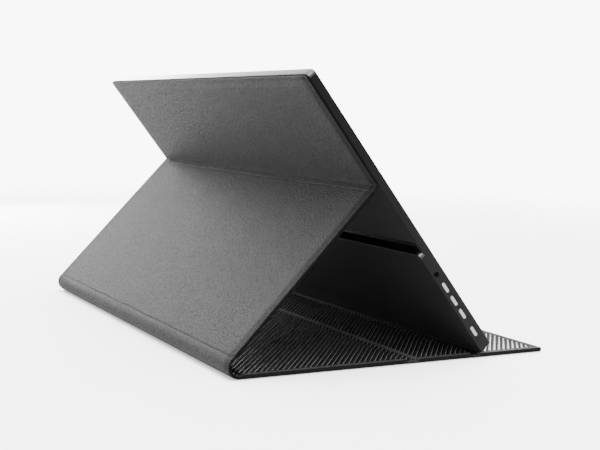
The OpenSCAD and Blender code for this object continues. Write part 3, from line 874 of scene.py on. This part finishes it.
class BuildCase(bpy.types.Operator):
    """Thin case with its thick lower block, hollow, with every slot cut through its walls."""

    bl_idname = "monitor.build_case"
    bl_label = "Case"

    def execute(self, context):
        monitor = settings()[1]
        radius, foot, edge, chamfer, wall, back = in_mm(monitor, "corner", "foot_corner", "edge", "chamfer",
                                                        "wall", "back")
        half = MONITOR_W / 2
        turn = np.linspace(0, math.pi / 2, 5)
        rounded = [(edge * (math.sin(t) - 1), edge * (1 - math.cos(t))) for t in turn]
        thin = [(0.0, chamfer), (chamfer, 0.0)] + [(THIN_D + d, inset) for d, inset in rounded]
        thick = [(THIN_D - back, 0.0)] + [(THICK_D + d, inset) for d, inset in rounded]
        material = anodised_case()

        def solid(name, *shells):
            """One body to join or to cut with."""
            return new_object(name, shells, material)

        case = solid("case_shell", plate(half, 0.0, MONITOR_H, radius, foot, thin))
        cut(case, solid("block", plate(half, -FOOT, THICK_H, radius, foot, thick)), operation="UNION")
        inside = half - wall
        cut(case,
            solid("hollow", block(-inside, inside, -1, THIN_D - back, wall, MONITOR_H - wall)),
            solid("deep_hollow", block(-inside, inside, -1, THICK_D - back, wall, THICK_H - wall)),
            solid("recess", block(radius - half, half - radius, THIN_D - STRIP_SUNK, THICK_D + 1,
                                  STRIP_LOW, STRIP_HIGH)),
            solid("slots", *case_slots(monitor, half, wall)))
        finish_case(case, radius)
        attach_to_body(case, "monitor")
        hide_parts("rear_case")
        return {"FINISHED"}


class BuildButtons(bpy.types.Operator):
    """Four pill-shaped side buttons with domed edges and a flange behind the wall."""

    bl_idname = "monitor.build_buttons"
    bl_label = "Side buttons"

    def execute(self, context):
        length, width = in_mm(settings()[1], "button_length", "button_width")
        for name in BUTTONS:
            (face, *_), (back, *_) = box_mm(name)
            depth, height = centre(name)[1:]
            # distance behind the button's face, and how much wider than the button
            dome = [(0.0, -1.3), (0.03, -0.8), (0.1, -0.4), (0.22, -0.14), (0.4, 0.0)]
            profile = [(face + x, length + grow, width + grow) for x, grow in dome]
            profile += [(back - FLANGE_T, length, width)]
            profile += [(x, length + FLANGE, width + FLANGE) for x in (back - FLANGE_T + SHARP, back)]
            piece = new_object(name + "_cap", [side_loft(depth, height, profile)], moulded_button())
            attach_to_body(piece, name)
            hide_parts(name)
        return {"FINISHED"}


@cache
def screen_film():
    """Polarising film with an anti-glare coat over the unlit screen: neutral black, with a soft shine.

    The coat's haze is drawn 0.3 mm wide, coarser than it is, so that it shows.
    """
    dark = linear("#0A0B0D")
    material, tree, surface, place = new_material("antiglare_polarising_film", dark, 0.28,
                                                  Specular_IOR_Level=0.2)
    mottle(tree, surface, place, dark, 3.0, 0.08)
    haze = add(tree, "TexNoise", {"Vector": place, "Scale": PER_M / 0.3, "Detail": 1.0})
    bump = add(tree, "Bump", {"Height": haze, "Distance": 0.004 * MM})
    tree.links.new(bump, surface.inputs["Normal"])
    return material


# Nodes that keep their CAD shape, and their material: name, sRGB colour, roughness, the grain's cell and
# depth in mm, drift of the colour, and 1 for a metal.
PLAIN = {
    # ABS moulded with a satin tool: black, with a soft shine
    ("front_frame",): ("satin_abs_frame", "#141516", 0.4, 0.6, 0.01, 0.12, 0.0),
    # float glass over colour filters: dark grey and smooth
    ("lcd_cell",): ("float_glass_cell", "#1C2430", 0.08, 3.0, 0.002, 0.05, 0.0),
    # cast acrylic with printed dots: white and clear
    ("light_guide",): ("dotted_acrylic_guide", "#DFE6EA", 0.2, 1.0, 0.01, 0.04, 0.0),
    # white flexible board under phosphor domes: pale yellow
    ("led_strip",): ("phosphor_led_strip", "#F2E9B8", 0.5, 3.5, 0.05, 0.08, 0.0),
    # zinc-plated sheet steel, rolled: grey with a faint spangle
    ("steel_tray", "panel_plate"): ("zinc_plated_steel", "#A9ADB0", 0.38, 4.0, 0.005, 0.08, 1.0),
    # tin-plated steel can, pressed: light and smooth
    ("board_shield",): ("tin_plated_shield", "#C4C7C9", 0.3, 2.0, 0.005, 0.06, 1.0),
    # closed-cell polyethylene foam, die-cut: dull, with open cells at the cut
    ("mounting_foam",): ("closed_cell_foam", "#3A3A3C", 0.9, 0.8, 0.15, 0.15, 0.0),
    # sintered magnets with a nickel coat: bright
    ("case_magnets",): ("nickel_coated_magnet", "#B8BCC0", 0.25, 1.0, 0.003, 0.05, 1.0),
    # glass-epoxy circuit board under green solder resist
    ("main_board", "button_board"): ("solder_resist_board", "#1F5A3A", 0.4, 1.2, 0.02, 0.2, 0.0),
    # moulded epoxy packages: matt charcoal
    ("board_chips",): ("moulded_epoxy_chip", "#26282B", 0.6, 0.4, 0.01, 0.1, 0.0),
    # liquid-crystal polymer, moulded: ivory
    ("display_connector",): ("moulded_polymer_connector", "#D8D2C4", 0.45, 0.5, 0.01, 0.05, 0.0),
    # polyimide with etched copper under it: amber
    ("display_ribbon",): ("polyimide_ribbon", "#A8672C", 0.35, 1.0, 0.01, 0.1, 0.0),
    # turned steel with a zinc coat: grey, with fine rings' shine
    ("board_screws",): ("turned_steel_screw", "#8C9094", 0.35, 0.5, 0.005, 0.05, 1.0),
    # nylon moulded black, slightly dusty
    ("speakers", "headphone_socket"): ("moulded_nylon_black", "#1A1B1D", 0.5, 0.5, 0.01, 0.1, 0.0),
    # stamped stainless steel: bright, with a faint roll
    ("usb_c_sockets", "mini_hdmi_socket", "tact_switches"):
        ("stamped_stainless_steel", "#B9BCBF", 0.28, 1.5, 0.004, 0.05, 1.0),
    # bookbinder's board, pressed from grey fibre: dull and flecked
    ("strut_board", "rear_board", "middle_board", "front_board"):
        ("pressed_grey_board", "#B9B29F", 0.85, 0.6, 0.05, 0.12, 0.0),
}


class FinishParts(bpy.types.Operator):
    """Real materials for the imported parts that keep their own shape."""

    bl_idname = "monitor.finish_parts"
    bl_label = "Packed parts"

    def execute(self, context):
        # the back strip's black finish is painted shade
        finishes = [(("front_sheet",), screen_film()), (("back_strip",), shade_strip())]
        for nodes, (name, code, roughness, cell, depth, drift, metal) in PLAIN.items():
            finish = grained(name, linear(code), roughness, cell, depth, drift, Metallic=metal)
            finishes.append((nodes, finish))
        for nodes, material in finishes:
            for node in nodes:
                mesh = frame["nodes"][node].data
                mesh.materials.clear()
                mesh.materials.append(material)
        return {"FINISHED"}


# ---- the stage ----

@cache
def light_table():
    """Opal acrylic table lit from below, with faint clouds, which fades out with distance from the object."""
    stage = settings()[2]
    material, tree, surface, place = new_material("opal_light_table", stage.floor_colour, 0.8,
                                                  Emission_Color=stage.floor_colour,
                                                  Emission_Strength=stage.table_light)
    mottle(tree, surface, place, stage.floor_colour, 60.0, 0.01)
    distance = add(tree, "VectorMath", {0: place}, "Value", operation="LENGTH")
    fade = add(tree, "MapRange", {"Value": distance, "From Min": stage.floor_reach,
                                  "From Max": 3 * stage.floor_reach}, interpolation_type="SMOOTHSTEP")
    clear = add(tree, "BsdfTransparent")
    mix = add(tree, "MixShader", {0: fade, 1: surface.outputs["BSDF"], 2: clear})
    tree.links.new(mix, tree.nodes["Material Output"].inputs["Surface"])
    return material


def light_room(world, stage):
    """White room, brighter ahead of the camera and on the ceiling: smooth steps of angle."""
    world.use_nodes = True
    tree = world.node_tree
    ahead = (math.cos(stage.azimuth), math.sin(stage.azimuth), 0.0)
    heading = add(tree, "TexCoord", output="Generated")
    strength = stage.room_light
    # direction, cosines of the angle to it at which its light starts and is full, strength
    for way, start, end, light in [(ahead, 0.68, 0.9, stage.backdrop_light),
                                   ((0.0, 0.0, 1.0), 0.75, 0.92, stage.ceiling_light)]:
        facing = add(tree, "VectorMath", {0: heading, 1: way}, "Value", operation="DOT_PRODUCT")
        step = add(tree, "MapRange", {"Value": facing, "From Min": start, "From Max": end,
                                      "To Max": light - stage.room_light}, interpolation_type="SMOOTHSTEP")
        strength = add(tree, "Math", {0: step, 1: strength}, operation="ADD")
    background = tree.nodes["Background"]
    background.inputs["Color"].default_value = (1.0, 1.0, 1.0, 1.0)
    tree.links.new(strength, background.inputs["Strength"])


def camera_turn(azimuth, pitch, roll):
    """Camera's axes as a matrix: it looks along its heading, tipped down by pitch, turned by roll."""
    level = math.cos(pitch)
    ahead = Vector((level * math.cos(azimuth), level * math.sin(azimuth), -math.sin(pitch)))
    side = ahead.cross(Vector((0, 0, 1))).normalized()
    right = side * math.cos(roll) + side.cross(ahead) * math.sin(roll)
    return Matrix((right, right.cross(ahead), -ahead)).transposed()


FLOOR_Z = -0.0002  # a hair under the leather, so that the two don't flicker
AIM = (0.0, 0.0, 0.08)  # middle of the object, in metres


class BuildStage(bpy.types.Operator):
    """Lit table in a white room, a softbox beyond the object and one above the camera, and the camera."""

    bl_idname = "monitor.build_stage"
    bl_label = "Stage"

    def execute(self, context):
        stage = settings()[2]
        reach = 3.2 * stage.floor_reach  # just past the place where the table has faded out
        mesh = bpy.data.meshes.new("floor")
        corners = [(-reach, -reach), (reach, -reach), (reach, reach), (-reach, reach)]
        mesh.from_pydata([(x, y, FLOOR_Z) for x, y in corners], [], [(0, 1, 2, 3)])
        mesh.materials.append(light_table())
        placed("floor", mesh)

        world = bpy.data.worlds.new("white_room")
        bpy.context.scene.world = world
        light_room(world, stage)

        # name, place, width and power
        for name, place, width, power in [("side_softbox", (0.95, 0.14, 0.27), 0.45, stage.side_light),
                                          ("front_softbox", (-0.92, 0.31, 0.91), 0.25, stage.front_light)]:
            lamp = bpy.data.lights.new(name, "AREA")
            lamp.size = width
            lamp.energy = power
            softbox = placed(name, lamp)
            softbox.location = place
            ray = Vector(AIM) - softbox.location
            softbox.rotation_euler = ray.to_track_quat("-Z", "Y").to_euler()

        lens = bpy.data.cameras.new("camera")
        lens.lens = stage.lens
        lens.sensor_width = 36.0
        lens.clip_end = 200.0
        camera = placed("camera", lens)
        turn = camera_turn(stage.azimuth, stage.pitch, stage.roll)
        camera.matrix_world = Matrix.Translation(stage.place) @ turn.to_4x4()
        bpy.context.scene.camera = camera
        return {"FINISHED"}


# ---- panel and registration ----

class MonitorPanel(bpy.types.Panel):
    """Sidebar panel with the settings and one button for each group of pieces."""

    bl_idname = "VIEW3D_PT_folding_monitor"
    bl_label = "Monitor"
    bl_space_type = "VIEW_3D"
    bl_region_type = "UI"
    bl_category = "Monitor"

    def draw(self, context):
        for group in settings():
            box = self.layout.box()
            for key in group.__annotations__:
                box.prop(group, key)
        for operator in OPERATORS:
            self.layout.operator(operator.bl_idname)


SETTINGS = {"cover_settings": CoverSettings, "monitor_settings": MonitorSettings,
            "stage_settings": StageSettings}
OPERATORS = [BuildStage, BuildCase, BuildButtons, FinishParts, BuildLeather, BuildLining]


def register():
    """Registers the settings, operators and panel."""
    for group in SETTINGS.values():
        bpy.utils.register_class(group)
    for name, group in SETTINGS.items():
        setattr(bpy.types.Scene, name, bpy.props.PointerProperty(type=group))
    for operator in OPERATORS:
        bpy.utils.register_class(operator)
    bpy.utils.register_class(MonitorPanel)


def unregister():
    """Removes them again."""
    bpy.utils.unregister_class(MonitorPanel)
    for operator in reversed(OPERATORS):
        bpy.utils.unregister_class(operator)
    for name, group in SETTINGS.items():
        delattr(bpy.types.Scene, name)
        bpy.utils.unregister_class(group)


def main():
    """Builds everything in order."""
    register()
    bpy.ops.monitor.build_stage()
    bpy.ops.monitor.build_case()
    bpy.ops.monitor.build_buttons()
    bpy.ops.monitor.finish_parts()
    bpy.ops.monitor.build_leather()
    bpy.ops.monitor.build_lining()


if __name__ == "__main__":
    main()
